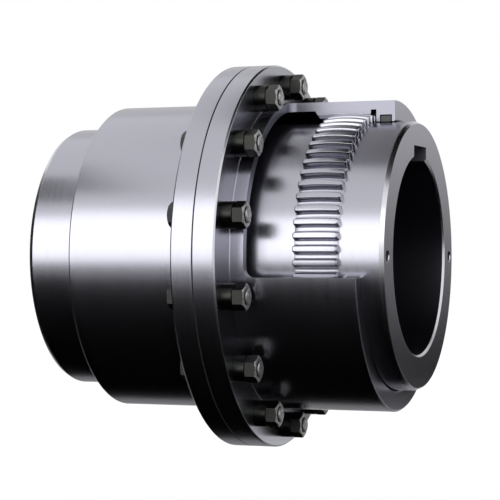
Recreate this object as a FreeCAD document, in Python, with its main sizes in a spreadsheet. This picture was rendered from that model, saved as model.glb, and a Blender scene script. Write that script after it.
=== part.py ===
import FreeCAD, Part
import math
import os
import re
import Sketcher
from FreeCAD import Placement, Rotation, Vector

# Flanged gear coupling for two 190 mm shafts, with a window cut in its right sleeve.
# The shafts' axis is X, and +Z is up. The origin is on that axis at the inner end of the right
# bore, where the right shaft ends. Reaches are measured from the seam between the two flanges.
# Each half is modelled as the right one: the left one is turned about the vertical. The left
# hub also sits a quarter turn round in its sleeve, because the two shafts' keys are independent.

# Driving dimensions, in millimetres and degrees.
SIZES = {
    # hubs
    "bore_diameter": 190,
    "bore_chamfer": 2,
    "keyway_width": 45,
    "keyway_depth": 10.4,
    "shaft_gap": 6,
    "hub_radius": 129,
    "hub_edge_drop": 2.1,
    "hub_edge_length": 4,
    "hub_inner_chamfer": 2,
    "right_hub_reach": 161,
    "left_hub_reach": 192.5,
    "puller_hole_count": 2,
    "puller_circle_radius": 115,
    "puller_hole_diameter": 10.2,
    "puller_hole_depth": 26,
    "left_hub_turn_in_teeth": 17,
    # teeth
    "tooth_count": 68,
    "tooth_module": 4,
    "flank_angle": 20,
    "tooth_play": 0.6,
    "mesh_reach": 98.25,
    "hub_tooth_width": 42.5,
    "hub_addendum": 4,
    "hub_dedendum": 4.7,
    "crown_radius": 110,
    "tooth_end_chamfer": 1.5,
    "cutter_overrun": 0.2,
    "sleeve_addendum": 3,
    "sleeve_dedendum": 5.2,
    "sleeve_tooth_start": 65.5,
    # sleeves
    "flange_radius": 187.5,
    "flange_thickness": 21,
    "flange_edge_chamfer": 1.5,
    "flange_seam_chamfer": 0.6,
    "flange_fillet": 2,
    "barrel_radius": 150,
    "sleeve_reach": 140.5,
    "sleeve_end_chamfer": 1.5,
    "recess_radius": 141.5,
    "recess_reach": 60.5,
    "relief_width": 5.5,
    "relief_depth": 2.4,
    "seal_land": 3.5,
    "seal_width": 12,
    "seal_height": 6.7,
    "seal_clearance": 0.9,
    "running_clearance": 1.1,
    "lip_width": 3,
    "lip_chamfer": 1,
    # window in the right sleeve
    "window_start": 35,
    "window_setback": 16.3,
    "window_drop": 19.8,
    "window_corner_radius": 8,
    # flange joint
    "gasket_thickness": 1,
    "gasket_inset": 1,
    "bolt_count": 14,
    "bolt_circle_radius": 166,
    "bolt_diameter": 14,
    "bolt_hole_clearance": 1,
    "thread_clearance": 0.2,
    "hexagon_width": 22,
    "bolt_head_height": 8.8,
    "bolt_overhang": 2,
    "nut_height": 11,
    "collar_diameter": 25,
    "collar_length": 11,
    # lubrication plugs, on the far side of each sleeve
    "plug_reach": 42,
    "fill_plug_angle": 45,
    "vent_plug_angle": 135,
    "plug_diameter": 13,
    "plug_length": 10,
    "plug_collar_diameter": 18,
    "plug_collar_height": 4,
    "plug_edge_chamfer": 0.6,
    "socket_width": 7,
    "socket_depth": 5,
    "washer_thickness": 1,
    "washer_clearance": 0.4,
    "spotface_diameter": 20,
    "spotface_depth": 0.6,
}

# Dimensions that follow from the driving ones.
DERIVED = {
    "bore_radius": "bore_diameter / 2",
    "half_gap": "shaft_gap / 2",
    "pitch_radius": "tooth_module * tooth_count / 2",
    "half_pitch_angle": "180 / tooth_count",
    "left_hub_turn": "left_hub_turn_in_teeth * 360 / tooth_count",
    "gap_half_width": "(pi * tooth_module / 2 + tooth_play / 2) / 2",
    "hub_tip_radius": "pitch_radius + hub_addendum",
    "hub_gap_slope": "tan(flank_angle + half_pitch_angle)",
    "half_tooth_width": "hub_tooth_width / 2",
    "hub_tooth_start": "mesh_reach - half_tooth_width",
    "hub_tooth_end": "mesh_reach + half_tooth_width",
    "crown_centre": "pitch_radius - crown_radius",
    "crown_tip_radius": "crown_radius + hub_addendum",
    "crown_root_radius": "crown_radius - hub_dedendum",
    "tooth_edge_radius": "crown_centre + sqrt(crown_tip_radius ^ 2"
                         " - (half_tooth_width - tooth_end_chamfer) ^ 2)",
    "sleeve_gap_slope": "tan(flank_angle)",
    "sleeve_tip_radius": "pitch_radius - sleeve_addendum",
    "sleeve_root_radius": "pitch_radius + sleeve_dedendum",
    "flange_seat": "gasket_thickness / 2",
    "flange_back": "flange_seat + flange_thickness",
    "end_bore_radius": "hub_radius + running_clearance",
    "seal_end": "sleeve_reach - lip_width",
    "seal_start": "seal_end - seal_width",
    "seal_inner_radius": "hub_radius + seal_clearance",
    "seal_outer_radius": "seal_inner_radius + seal_height",
    "relief_end": "seal_start - seal_land",
    "relief_start": "relief_end - relief_width",
    "relief_radius": "sleeve_root_radius + relief_depth",
    "bolt_hole_diameter": "bolt_diameter + bolt_hole_clearance",
    "nut_bore_diameter": "bolt_diameter + thread_clearance",
    "nut_seat": "flange_back + collar_length",
    "bolt_end": "nut_seat + nut_height + bolt_overhang",
    "plug_hole_radius": "(plug_diameter + thread_clearance) / 2",
    "washer_seat": "barrel_radius - spotface_depth",
    "plug_seat": "washer_seat + washer_thickness",
}

# How far a cutting shape stands out past what it cuts.
MARGIN = 1

QUARTER_TURN = 90
HALF_TURN = 180

doc = FreeCAD.newDocument("gear_coupling")
sheet = doc.addObject("Spreadsheet::Sheet", "Sizes")


def fill_sheet():
    """Write each driving dimension into a cell that has its name as alias."""
    for row, (name, size) in enumerate(SIZES.items(), start=1):
        sheet.set("A%d" % row, name)
        sheet.set("B%d" % row, str(size))
        sheet.setAlias("B%d" % row, name)
    doc.recompute()


def formula(text):
    """Turn the names of dimensions into references to the sheet."""
    def reference(found):
        word = found.group(0)
        if word in DERIVED:
            return "(" + formula(DERIVED[word]) + ")"
        return "Sizes." + word if word in SIZES else word
    return re.sub("[a-z_]+", reference, str(text))


def number(text):
    """The value that a formula has now."""
    value = sheet.evalExpression(formula(text))
    return float(getattr(value, "Value", value))


def bind(thing, **properties):
    """Tie properties to formulas; a double underscore stands for the dot in a property's path."""
    for name, text in properties.items():
        thing.setExpression(name.replace("__", "."), formula(text))


def place_on_seam(part, turned=False):
    """Put a part beside the seam, turned about the vertical where it belongs to the left half."""
    part.Placement = Placement(Vector(), Rotation(Vector(0, 0, 1), HALF_TURN if turned else 0))
    bind(part, Placement__Base__x="-half_gap")


def origin_feature(body, role):
    """One of a body's own origin planes or axes."""
    return next(feature for feature in body.Origin.OriginFeatures if feature.Role == role)


def new_sketch(body, name, plane, offset="0", turn="0"):
    """A sketch on an origin plane, moved along the plane's normal and turned about it."""
    sketch = body.newObject("Sketcher::SketchObject", body.Name + "_" + name)
    sketch.AttachmentSupport = (origin_feature(body, plane), [""])
    sketch.MapMode = "FlatFace"
    sketch.AttachmentOffset = Placement(Vector(), Rotation(Vector(0, 0, 1), number(turn)))
    bind(sketch, AttachmentOffset__Base__z=offset, AttachmentOffset__Rotation__Angle=turn)
    return sketch


def measure(sketch, kind, text, *where):
    """Add a dimension to a sketch and tie it to a formula."""
    index = sketch.addConstraint(Sketcher.Constraint(kind, *where, number(text)))
    bind(sketch, **{"Constraints[%d]" % index: text})


def place_point(sketch, along, across, *where):
    """Fix a point of a sketch at its two distances from the sketch's origin."""
    measure(sketch, "DistanceX", along, -1, 1, *where)
    measure(sketch, "DistanceY", across, -1, 1, *where)


def draw_arc(start, end, centre):
    """The shorter arc between two points, and whether it runs from start to end."""
    first = start - centre
    last = end - centre
    forwards = first.x * last.y > first.y * last.x
    angles = [math.atan2(first.y, first.x), math.atan2(last.y, last.x)]
    if not forwards:
        angles.reverse()
    circle = Part.Circle(centre, Vector(0, 0, 1), first.Length)
    return Part.ArcOfCircle(circle, *angles), forwards


def draw_outline(sketch, corners, arcs={}):
    """Draw a closed outline through corners that are given as pairs of formulas.

    arcs holds the centre of each arc under the number of the corner that it starts from.
    """
    points = [Vector(number(along), number(across), 0) for along, across in corners]
    count = len(points)
    start_ends = []
    for i, point in enumerate(points):
        following = points[(i + 1) % count]
        if i in arcs:
            centre = Vector(number(arcs[i][0]), number(arcs[i][1]), 0)
            edge, forwards = draw_arc(point, following, centre)
        else:
            edge, forwards = Part.LineSegment(point, following), True
        sketch.addGeometry(edge, False)
        start_ends.append(1 if forwards else 2)
    for i in range(count):
        after = (i + 1) % count
        sketch.addConstraint(
            Sketcher.Constraint("Coincident", i, 3 - start_ends[i], after, start_ends[after]))
    for i, (along, across) in enumerate(corners):
        place_point(sketch, along, across, i, start_ends[i])
    for i, (along, across) in arcs.items():
        measure(sketch, "DistanceY", across, -1, 1, i, 3)


def draw_axis(sketch, start, end, height):
    """Draw the construction line that a groove turns about, level with the sketch's first axis."""
    index = sketch.GeometryCount
    points = [Vector(number(along), number(height), 0) for along in (start, end)]
    sketch.addGeometry(Part.LineSegment(*points), True)
    place_point(sketch, start, height, index, 1)
    place_point(sketch, end, height, index, 2)


def draw_hexagon(sketch, width):
    """Draw a hexagon of a width across flats, with a corner at its top."""
    flat = "(%s) / 2" % width
    corner = "(%s) / sqrt(3)" % width
    half_corner = "(%s) / sqrt(12)" % width
    draw_outline(sketch, [
        ("0", corner),
        ("-" + flat, half_corner),
        ("-" + flat, "-" + half_corner),
        ("0", "-" + corner),
        (flat, "-" + half_corner),
        (flat, half_corner),
    ])


def draw_circle(sketch, height, diameter):
    """Draw a circle at a height straight above the sketch's origin."""
    centre = Vector(0, number(height), 0)
    sketch.addGeometry(Part.Circle(centre, Vector(0, 0, 1), number(diameter) / 2), False)
    measure(sketch, "Diameter", diameter, 0)
    place_point(sketch, "0", height, 0, 3)


def turn_section(body, corners, arcs={}, axis="X_Axis"):
    """Turn a half section, drawn in the XZ plane, about one of the body's axes."""
    sketch = new_sketch(body, "section", "XZ_Plane")
    draw_outline(sketch, corners, arcs)
    turned = body.newObject("PartDesign::Revolution", body.Name + "_turned")
    turned.Profile = sketch
    turned.ReferenceAxis = (origin_feature(body, axis), [""])
    turned.Angle = 360
    return turned


def pad(body, sketch, length):
    """Build a sketch's shape up along the sketch's normal."""
    feature = body.newObject("PartDesign::Pad", sketch.Name + "_pad")
    feature.Profile = sketch
    bind(feature, Length=length)
    return feature


def pocket(body, sketch, length, forwards=True):
    """Cut a sketch's shape to a depth, along the sketch's normal or against it."""
    feature = body.newObject("PartDesign::Pocket", sketch.Name + "_pocket")
    feature.Profile = sketch
    feature.Type = "Length"
    feature.Reversed = forwards
    bind(feature, Length=length)
    return feature


def groove(body, sketch):
    """Cut a groove by turning a sketch's shape about the construction line in it."""
    feature = body.newObject("PartDesign::Groove", sketch.Name + "_groove")
    feature.Profile = sketch
    feature.ReferenceAxis = (sketch, ["Axis0"])
    feature.Angle = 360
    return feature


def repeat_round(body, feature, count):
    """Repeat a cut at equal angles round the shafts' axis."""
    pattern = body.newObject("PartDesign::PolarPattern", feature.Name + "_pattern")
    pattern.Originals = [feature]
    pattern.Axis = (origin_feature(body, "X_Axis"), [""])
    pattern.Angle = 360
    bind(pattern, Occurrences=count)
    body.Tip = pattern


def make_hub(name, reach, key_turn, turned):
    """A bored hub with a keyway, puller holes and a ring of crowned teeth.

    The keyway is at the top, or as far from it as key_turn says.
    """
    body = doc.addObject("PartDesign::Body", name)
    turn_section(body, [
        ("half_gap", "bore_radius"),
        (reach + " - bore_chamfer", "bore_radius"),
        (reach, "bore_radius + bore_chamfer"),
        (reach, "hub_radius - hub_edge_drop"),
        (reach + " - hub_edge_length", "hub_radius"),
        ("hub_tooth_end", "hub_radius"),
        ("hub_tooth_end", "tooth_edge_radius - tooth_end_chamfer"),
        ("hub_tooth_end - tooth_end_chamfer", "tooth_edge_radius"),
        ("hub_tooth_start + tooth_end_chamfer", "tooth_edge_radius"),
        ("hub_tooth_start", "tooth_edge_radius - tooth_end_chamfer"),
        ("hub_tooth_start", "hub_radius"),
        ("half_gap + hub_inner_chamfer", "hub_radius"),
        ("half_gap", "hub_radius - hub_inner_chamfer"),
    ], {7: ("mesh_reach", "crown_centre")})
    cut_crowned_teeth(body)
    cut_keyway(body, reach, key_turn)
    drill_puller_holes(body, reach, key_turn)
    place_on_seam(body, turned)
    return body


def cut_crowned_teeth(body):
    """Cut the gaps that leave the hub's crowned teeth, one gap at the very top.

    A crowning cutter swings about a line under the pitch line. Its cut is deepest and widest at
    the ends of a tooth, so each tooth is left thicker in its middle and can rock in the sleeve.
    """
    sketch = new_sketch(body, "tooth_gap", "YZ_Plane", "mesh_reach")
    bottom = "gap_half_width - hub_dedendum * hub_gap_slope"
    top = "gap_half_width + (hub_addendum + %g) * hub_gap_slope" % MARGIN
    draw_outline(sketch, [
        ("-(%s)" % bottom, "pitch_radius - hub_dedendum"),
        (bottom, "pitch_radius - hub_dedendum"),
        (top, "hub_tip_radius + %g" % MARGIN),
        ("-(%s)" % top, "hub_tip_radius + %g" % MARGIN),
    ])
    draw_axis(sketch, "-gap_half_width", "gap_half_width", "crown_centre")
    swing = groove(body, sketch)
    swing.Midplane = True
    bind(swing, Angle="2 * asin((half_tooth_width + cutter_overrun) / crown_root_radius)")
    repeat_round(body, swing, "tooth_count")


def cut_keyway(body, reach, key_turn):
    """Cut the keyway in the bore, through the hub's whole length."""
    sketch = new_sketch(body, "keyway", "YZ_Plane", turn=key_turn)
    draw_outline(sketch, [
        ("-keyway_width / 2", "bore_radius / 2"),
        ("keyway_width / 2", "bore_radius / 2"),
        ("keyway_width / 2", "bore_radius + keyway_depth"),
        ("-keyway_width / 2", "bore_radius + keyway_depth"),
    ])
    pocket(body, sketch, reach + " + %g" % MARGIN)


def drill_puller_holes(body, reach, key_turn):
    """Drill the puller holes into the hub's outer face, a quarter turn from the keyway."""
    sketch = new_sketch(body, "puller_hole", "YZ_Plane", reach, key_turn + " + %g" % QUARTER_TURN)
    draw_circle(sketch, "puller_circle_radius", "puller_hole_diameter")
    drilled = pocket(body, sketch, "puller_hole_depth", forwards=False)
    repeat_round(body, drilled, "puller_hole_count")


def make_sleeve_blank():
    """A flanged sleeve, turned inside and out, with straight internal teeth and bolt holes."""
    body = doc.addObject("PartDesign::Body", "sleeve_blank")
    turn_section(body, [
        ("flange_seat", "recess_radius"),
        ("recess_reach", "recess_radius"),
        ("sleeve_tooth_start", "sleeve_tip_radius"),
        ("relief_start", "sleeve_tip_radius"),
        ("relief_start", "relief_radius"),
        ("relief_end", "relief_radius"),
        ("relief_end", "end_bore_radius"),
        ("seal_start", "end_bore_radius"),
        ("seal_start", "seal_outer_radius"),
        ("seal_end", "seal_outer_radius"),
        ("seal_end", "end_bore_radius"),
        ("sleeve_reach - lip_chamfer", "end_bore_radius"),
        ("sleeve_reach", "end_bore_radius + lip_chamfer"),
        ("sleeve_reach", "barrel_radius - sleeve_end_chamfer"),
        ("sleeve_reach - sleeve_end_chamfer", "barrel_radius"),
        ("flange_back + flange_fillet", "barrel_radius"),
        ("flange_back", "barrel_radius + flange_fillet"),
        ("flange_back", "flange_radius - flange_edge_chamfer"),
        ("flange_back - flange_edge_chamfer", "flange_radius"),
        ("flange_seat + flange_seam_chamfer", "flange_radius"),
        ("flange_seat", "flange_radius - flange_seam_chamfer"),
    ], {15: ("flange_back + flange_fillet", "barrel_radius + flange_fillet")})
    cut_internal_teeth(body)
    drill_bolt_holes(body, "flange_seat", "flange_thickness")
    return body


def cut_internal_teeth(body):
    """Cut the straight gaps between the sleeve's internal teeth, running out into the relief.

    A tooth stands at the very top, in the hub's gap there.
    """
    sketch = new_sketch(body, "tooth_gap", "YZ_Plane", "recess_reach", "half_pitch_angle")
    inner = "gap_half_width + (sleeve_addendum + %g) * sleeve_gap_slope" % MARGIN
    outer = "gap_half_width - sleeve_dedendum * sleeve_gap_slope"
    draw_outline(sketch, [
        ("-(%s)" % inner, "sleeve_tip_radius - %g" % MARGIN),
        (inner, "sleeve_tip_radius - %g" % MARGIN),
        (outer, "sleeve_root_radius"),
        ("-(%s)" % outer, "sleeve_root_radius"),
    ])
    shaped = pocket(body, sketch, "relief_start + relief_width / 2 - recess_reach")
    repeat_round(body, shaped, "tooth_count")


def drill_bolt_holes(body, start, length):
    """Drill a ring of bolt holes, one of them at the very top."""
    sketch = new_sketch(body, "bolt_hole", "YZ_Plane", start + " - %g" % MARGIN)
    draw_circle(sketch, "bolt_circle_radius", "bolt_hole_diameter")
    drilled = pocket(body, sketch, length + " + %g" % (2 * MARGIN))
    repeat_round(body, drilled, "bolt_count")


def make_window_cutter():
    """The block that cuts the window: open outwards, with its two inner edges rounded."""
    body = doc.addObject("PartDesign::Body", "window_cutter")
    sketch = new_sketch(body, "outline", "XZ_Plane", "window_setback")
    draw_outline(sketch, [
        ("window_start", "-window_drop"),
        ("sleeve_reach + %g" % MARGIN, "-window_drop"),
        ("sleeve_reach + %g" % MARGIN, "barrel_radius + %g" % MARGIN),
        ("window_start", "barrel_radius + %g" % MARGIN),
    ])
    block = pad(body, sketch, "barrel_radius")
    doc.recompute()
    rounded = body.newObject("PartDesign::Fillet", "window_corners")
    rounded.Base = (block, inner_window_edges(block.Shape))
    bind(rounded, Radius="window_corner_radius")
    return body


def inner_window_edges(block):
    """The names of the block's low edge and its back edge at the start of the window."""
    names = []
    for index, edge in enumerate(block.Edges, start=1):
        middle = edge.BoundBox.Center - block.BoundBox.Center
        at_start = middle.x < 0
        if at_start and abs(middle.y) < abs(middle.x) * 1e-6 and middle.z < 0:
            names.append("Edge%d" % index)
        if at_start and abs(middle.z) < abs(middle.x) * 1e-6 and middle.y > 0:
            names.append("Edge%d" % index)
    return names


def lean_outwards(part, angle, radius, reach, side=1):
    """Stand a part along a radius of the barrel, at an angle from the top to the far side."""
    part.Placement = Placement(Vector(), Rotation(Vector(-side, 0, 0), number(angle)))
    bind(part, Placement__Base__x=reach,
         Placement__Base__y="%d * (%s) * sin(%s)" % (side, radius, angle),
         Placement__Base__z="(%s) * cos(%s)" % (radius, angle),
         Placement__Rotation__Angle=angle)


def make_plug_drills(name, side):
    """The cutters for a sleeve's two lubrication holes and the spot faces round them."""
    drills = []
    for angle in ("fill_plug_angle", "vent_plug_angle"):
        hole = doc.addObject("Part::Cylinder", name + "_hole")
        bind(hole, Radius="plug_hole_radius", Height="barrel_radius - hub_radius")
        lean_outwards(hole, angle, "end_bore_radius", "plug_reach", side)
        spotface = doc.addObject("Part::Cylinder", name + "_spotface")
        bind(spotface, Radius="spotface_diameter / 2", Height="spotface_depth + %g" % MARGIN)
        lean_outwards(spotface, angle, "washer_seat", "plug_reach", side)
        drills += [hole, spotface]
    return drills


def make_sleeve(name, blank, cutters, turned):
    """A sleeve that is cut from the blank by its own cutters."""
    joined = doc.addObject("Part::MultiFuse", name + "_cutters")
    joined.Shapes = cutters
    sleeve = doc.addObject("Part::Cut", name)
    sleeve.Base = blank
    sleeve.Tool = joined
    place_on_seam(sleeve, turned)
    return sleeve


def make_seal(name):
    """The square rubber ring that fills the groove in a sleeve's end."""
    body = doc.addObject("PartDesign::Body", name)
    turn_section(body, [
        ("seal_start", "seal_inner_radius"),
        ("seal_end", "seal_inner_radius"),
        ("seal_end", "seal_outer_radius"),
        ("seal_start", "seal_outer_radius"),
    ])
    return body


def make_right_seal(cutter):
    """The right seal, which the window cuts through with the sleeve."""
    seal = doc.addObject("Part::Cut", "right_shaft_seal")
    seal.Base = make_seal("seal_ring")
    seal.Tool = cutter
    place_on_seam(seal)
    return seal


def make_left_seal():
    """The left seal, whole."""
    seal = make_seal("left_shaft_seal")
    place_on_seam(seal, turned=True)
    return seal


def make_gasket():
    """The flat ring between the two flanges."""
    body = doc.addObject("PartDesign::Body", "flange_gasket")
    turn_section(body, [
        ("-flange_seat", "recess_radius + gasket_inset"),
        ("flange_seat", "recess_radius + gasket_inset"),
        ("flange_seat", "flange_radius - gasket_inset"),
        ("-flange_seat", "flange_radius - gasket_inset"),
    ])
    drill_bolt_holes(body, "-flange_seat", "gasket_thickness")
    place_on_seam(body)
    return body


def make_bolt():
    """One hexagon-head bolt, its head under the left flange."""
    body = doc.addObject("PartDesign::Body", "flange_bolt")
    head = new_sketch(body, "head", "YZ_Plane", "-flange_back - bolt_head_height")
    draw_hexagon(head, "hexagon_width")
    pad(body, head, "bolt_head_height")
    shank = new_sketch(body, "shank", "YZ_Plane", "-flange_back")
    draw_circle(shank, "0", "bolt_diameter")
    pad(body, shank, "flange_back + bolt_end")
    return body


def make_collar():
    """One round collar, between the right flange and a nut."""
    body = doc.addObject("PartDesign::Body", "nut_collar")
    turn_section(body, [
        ("flange_back", "bolt_hole_diameter / 2"),
        ("nut_seat", "bolt_hole_diameter / 2"),
        ("nut_seat", "collar_diameter / 2"),
        ("flange_back", "collar_diameter / 2"),
    ])
    return body


def make_nut():
    """One hexagon nut, on its collar."""
    body = doc.addObject("PartDesign::Body", "flange_nut")
    outline = new_sketch(body, "outline", "YZ_Plane", "nut_seat")
    draw_hexagon(outline, "hexagon_width")
    pad(body, outline, "nut_height")
    hole = new_sketch(body, "hole", "YZ_Plane", "nut_seat - %g" % MARGIN)
    draw_circle(hole, "0", "nut_bore_diameter")
    pocket(body, hole, "nut_height + %g" % (2 * MARGIN))
    return body


def repeat_on_bolt_circle(name, piece):
    """A group of copies of a fastener, one in each bolt hole, none of them turned."""
    copies = []
    for k in range(int(number("bolt_count"))):
        copy = doc.addObject("App::Link", "%s_%d" % (piece.Name, k + 1))
        copy.LinkedObject = piece
        bind(copy, Placement__Base__y="bolt_circle_radius * sin(360 * %d / bolt_count)" % k,
             Placement__Base__z="bolt_circle_radius * cos(360 * %d / bolt_count)" % k)
        copies.append(copy)
    group = doc.addObject("Part::Compound", name)
    group.Links = copies
    place_on_seam(group)
    return group


def make_plug(name, angle, reach):
    """A screw plug with a round collar and a hexagon socket."""
    body = doc.addObject("PartDesign::Body", name)
    turn_section(body, [
        ("0", "-plug_length"),
        ("plug_diameter / 2 - plug_edge_chamfer", "-plug_length"),
        ("plug_diameter / 2", "-plug_length + plug_edge_chamfer"),
        ("plug_diameter / 2", "0"),
        ("plug_collar_diameter / 2", "0"),
        ("plug_collar_diameter / 2", "plug_collar_height - plug_edge_chamfer"),
        ("plug_collar_diameter / 2 - plug_edge_chamfer", "plug_collar_height"),
        ("0", "plug_collar_height"),
    ], axis="Z_Axis")
    socket = new_sketch(body, "socket", "XY_Plane", "plug_collar_height")
    draw_hexagon(socket, "socket_width")
    pocket(body, socket, "socket_depth", forwards=False)
    lean_outwards(body, angle, "plug_seat", reach)
    return body


def make_plug_washer(name, angle, reach):
    """The sealing washer under a plug's collar, on the spot face."""
    body = doc.addObject("PartDesign::Body", name)
    turn_section(body, [
        ("(plug_diameter + washer_clearance) / 2", "0"),
        ("plug_collar_diameter / 2", "0"),
        ("plug_collar_diameter / 2", "washer_thickness"),
        ("(plug_diameter + washer_clearance) / 2", "washer_thickness"),
    ], axis="Z_Axis")
    lean_outwards(body, angle, "washer_seat", reach)
    return body


def make_sleeves():
    """Both sleeves with their seals."""
    blank = make_sleeve_blank()
    window = make_window_cutter()
    right_cutters = [window] + make_plug_drills("right_plug", 1)
    left_cutters = make_plug_drills("left_plug", -1)
    return [
        make_sleeve("right_sleeve", blank, right_cutters, turned=False),
        make_sleeve("left_sleeve", blank, left_cutters, turned=True),
        make_right_seal(window),
        make_left_seal(),
    ]


def make_plugs():
    """The fill and vent plugs of both sleeves, each with its washer."""
    plugs = []
    for side, reach in (("right", "plug_reach - half_gap"), ("left", "-plug_reach - half_gap")):
        for use in ("fill", "vent"):
            name = "%s_%s_plug" % (side, use)
            angle = use + "_plug_angle"
            plugs.append(make_plug(name, angle, reach))
            plugs.append(make_plug_washer(name + "_washer", angle, reach))
    return plugs


def make_parts():
    """Every separate piece of the coupling."""
    hubs = [
        make_hub("right_hub", "right_hub_reach", "0", turned=False),
        make_hub("left_hub", "left_hub_reach", "left_hub_turn", turned=True),
    ]
    fasteners = [
        repeat_on_bolt_circle("flange_bolts", make_bolt()),
        repeat_on_bolt_circle("nut_collars", make_collar()),
        repeat_on_bolt_circle("flange_nuts", make_nut()),
    ]
    return hubs + make_sleeves() + [make_gasket()] + fasteners + make_plugs()


def check(parts):
    """Stop if an object has failed or a part has no valid shape."""
    for thing in doc.Objects:
        if {"Invalid", "Error"} & set(thing.State):
            raise RuntimeError("%s failed: %s" % (thing.Name, thing.State))
    for part in parts:
        if part.Shape.isNull() or not part.Shape.isValid():
            raise RuntimeError("%s has no valid shape" % part.Name)


def export(parts):
    """Write each part to a file of its own, named by its label."""
    os.makedirs("parts", exist_ok=True)
    for part in parts:
        part.Label = part.Name
        part.Shape.exportStep("parts/%s.step" % part.Label)


fill_sheet()
coupling = make_parts()
doc.recompute()
check(coupling)
export(coupling)
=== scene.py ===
import math
import bmesh
import bpy
from mathutils import Matrix, Vector


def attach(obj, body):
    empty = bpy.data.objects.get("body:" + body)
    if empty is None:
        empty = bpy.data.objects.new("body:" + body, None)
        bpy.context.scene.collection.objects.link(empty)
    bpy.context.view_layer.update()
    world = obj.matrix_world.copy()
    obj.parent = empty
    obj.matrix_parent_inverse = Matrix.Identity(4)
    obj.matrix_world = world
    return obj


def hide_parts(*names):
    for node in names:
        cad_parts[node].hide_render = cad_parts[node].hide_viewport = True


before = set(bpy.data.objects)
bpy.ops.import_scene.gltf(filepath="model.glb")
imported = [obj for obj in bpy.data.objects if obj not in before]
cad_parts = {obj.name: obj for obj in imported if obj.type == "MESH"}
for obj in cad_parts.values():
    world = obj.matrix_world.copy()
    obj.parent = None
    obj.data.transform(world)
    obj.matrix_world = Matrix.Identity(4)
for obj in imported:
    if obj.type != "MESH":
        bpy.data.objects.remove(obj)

# The flanged gear coupling: turned steel hubs and sleeves, black fasteners, rubber seals.
# Sizes are in millimetres, as on the drawing, and MM turns them into metres. Reaches along the
# shafts are measured from the seam between the flanges, towards the end of the half they are on.

MM = 0.001
FULL_TURN = 2 * math.pi
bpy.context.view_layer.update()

# Hubs
SHAFT_GAP = 6.0
BORE_RADIUS = 95.0
BORE_CHAMFER = 2.0
KEYWAY_WIDTH = 45.0
KEYWAY_DEPTH = 10.4
KEYWAY_CORNER = 0.8
HUB_RADIUS = 129.0
HUB_EDGE = (4.0, 2.1)
HUB_INNER_CHAMFER = 2.0
HUB_REACHES = {"right": 161.0, "left": 192.5}
HUB_TURNS = {"right": 0.0, "left": math.pi / 2}
PULLER_CIRCLE_RADIUS = 115.0
PULLER_HOLE_RADIUS = 5.1
PULLER_HOLE_DEPTH = 26.0
PULLER_HOLE_CHAMFER = 0.8

# Teeth. A hub's flanks lean little below the pitch circle and more above it. Each of them stands
# out by the gain from an even share of the pitch, and the sleeve's flanks stand back by as much.
# A rounding is its length along the tooth and what it takes off at the very end.
TOOTH_COUNT = 68
TOOTH_MODULE = 4.0
TOOTH_PLAY = 0.3
HUB_TOOTH_GAIN = 0.6
MESH_REACH = 98.25
HUB_TOOTH_WIDTH = 42.5
CROWN_RADIUS = 110.0
HUB_ADDENDUM = 2.5
HUB_DEDENDUM = 4.4
HUB_FLANK_ANGLES = (math.radians(6), math.radians(28))
TOOTH_END_ROUNDING = (3.0, 1.45)
TOOTH_TIP_ROUNDING = (0.8, 0.8)
TOOTH_RING_DEPTHS = (0, 0.1, 0.3, 0.6, 1.0, 1.6, 2.2, 3.0, 5, 9, 13, 17)
SLEEVE_ADDENDUM = 2.0
SLEEVE_DEDENDUM = 3.4
SLEEVE_FLANK_ANGLE = math.radians(22)
SLEEVE_TOOTH_START = 64.6
SLEEVE_TOOTH_LIFT = 0.2
TOOTH_ROOT_FILLET = 0.7
TOOTH_EDGE = 0.45

# Sleeves
FLANGE_RADIUS = 187.5
FLANGE_THICKNESS = 21.0
FLANGE_FILLET = 1.2
FLANGE_EDGE = 1.5
SEAM_EDGE = 0.25
GASKET_THICKNESS = 1.0
GASKET_SETBACK = 1.0
BARREL_RADIUS = 150.0
BARREL_CHAMFER = 1.5
END_BORE_CHAMFER = 1.0
SLEEVE_REACH = 140.5
RECESS_RADIUS = 141.5
RECESS_REACH = 60.5
RELIEF_WIDTH = 5.5
RELIEF_DEPTH = 2.3
SEAL_LAND = 3.5
SEAL_WIDTH = 12.0
SEAL_HEIGHT = 6.7
SEAL_PLAY = 1.1
SEAL_CORNER = 0.8
SEAL_CLEARANCE = 0.9
RUNNING_CLEARANCE = 1.1
LIP_WIDTH = 3.0
WINDOW_START = 35.0
WINDOW_SETBACK = 16.3
WINDOW_DROP = 19.8
WINDOW_CORNER = 8.0

# Flange joint
BOLT_COUNT = 14
BOLT_CIRCLE_RADIUS = 166.0
BOLT_RADIUS = 7.0
BOLT_CHAMFER = 1.1
BOLT_HOLE_RADIUS = 7.5
HEXAGON_WIDTH = 22.0
HEXAGON_FLAT_SHARE = 0.97
HEXAGON_CHAMFER_ANGLE = math.radians(30)
HEAD_HEIGHT = 8.8
NUT_HEIGHT = 11.0
NUT_PLAY = 0.1
NUT_MOUTH = 0.9
COLLAR_RADIUS = 12.5
COLLAR_LENGTH = 11.0
COLLAR_EDGE = 0.5
BOLT_OVERHANG = 2.0

# Lubrication plugs
PLUG_REACH = 42.0
PLUG_ANGLES = {"fill": math.radians(45), "vent": math.radians(135)}
PLUG_RADIUS = 6.5
PLUG_LENGTH = 10.0
PLUG_COLLAR_RADIUS = 9.0
PLUG_COLLAR_HEIGHT = 4.0
PLUG_FLAT_RINGS = (2.0, 5.0)
PLUG_END_EDGE = 0.6
PLUG_COLLAR_EDGE = 0.8
PLUG_HOLE_DEPTH = 14.0
PLUG_HOLE_PLAY = 0.1
SOCKET_WIDTH = 7.0
SOCKET_DEPTH = 5.0
WASHER_THICKNESS = 1.0
WASHER_PLAY = 0.2
WASHER_MOUTH = 0.15
SPOTFACE_RADIUS = 10.0
SPOTFACE_DEPTH = 0.6

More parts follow.
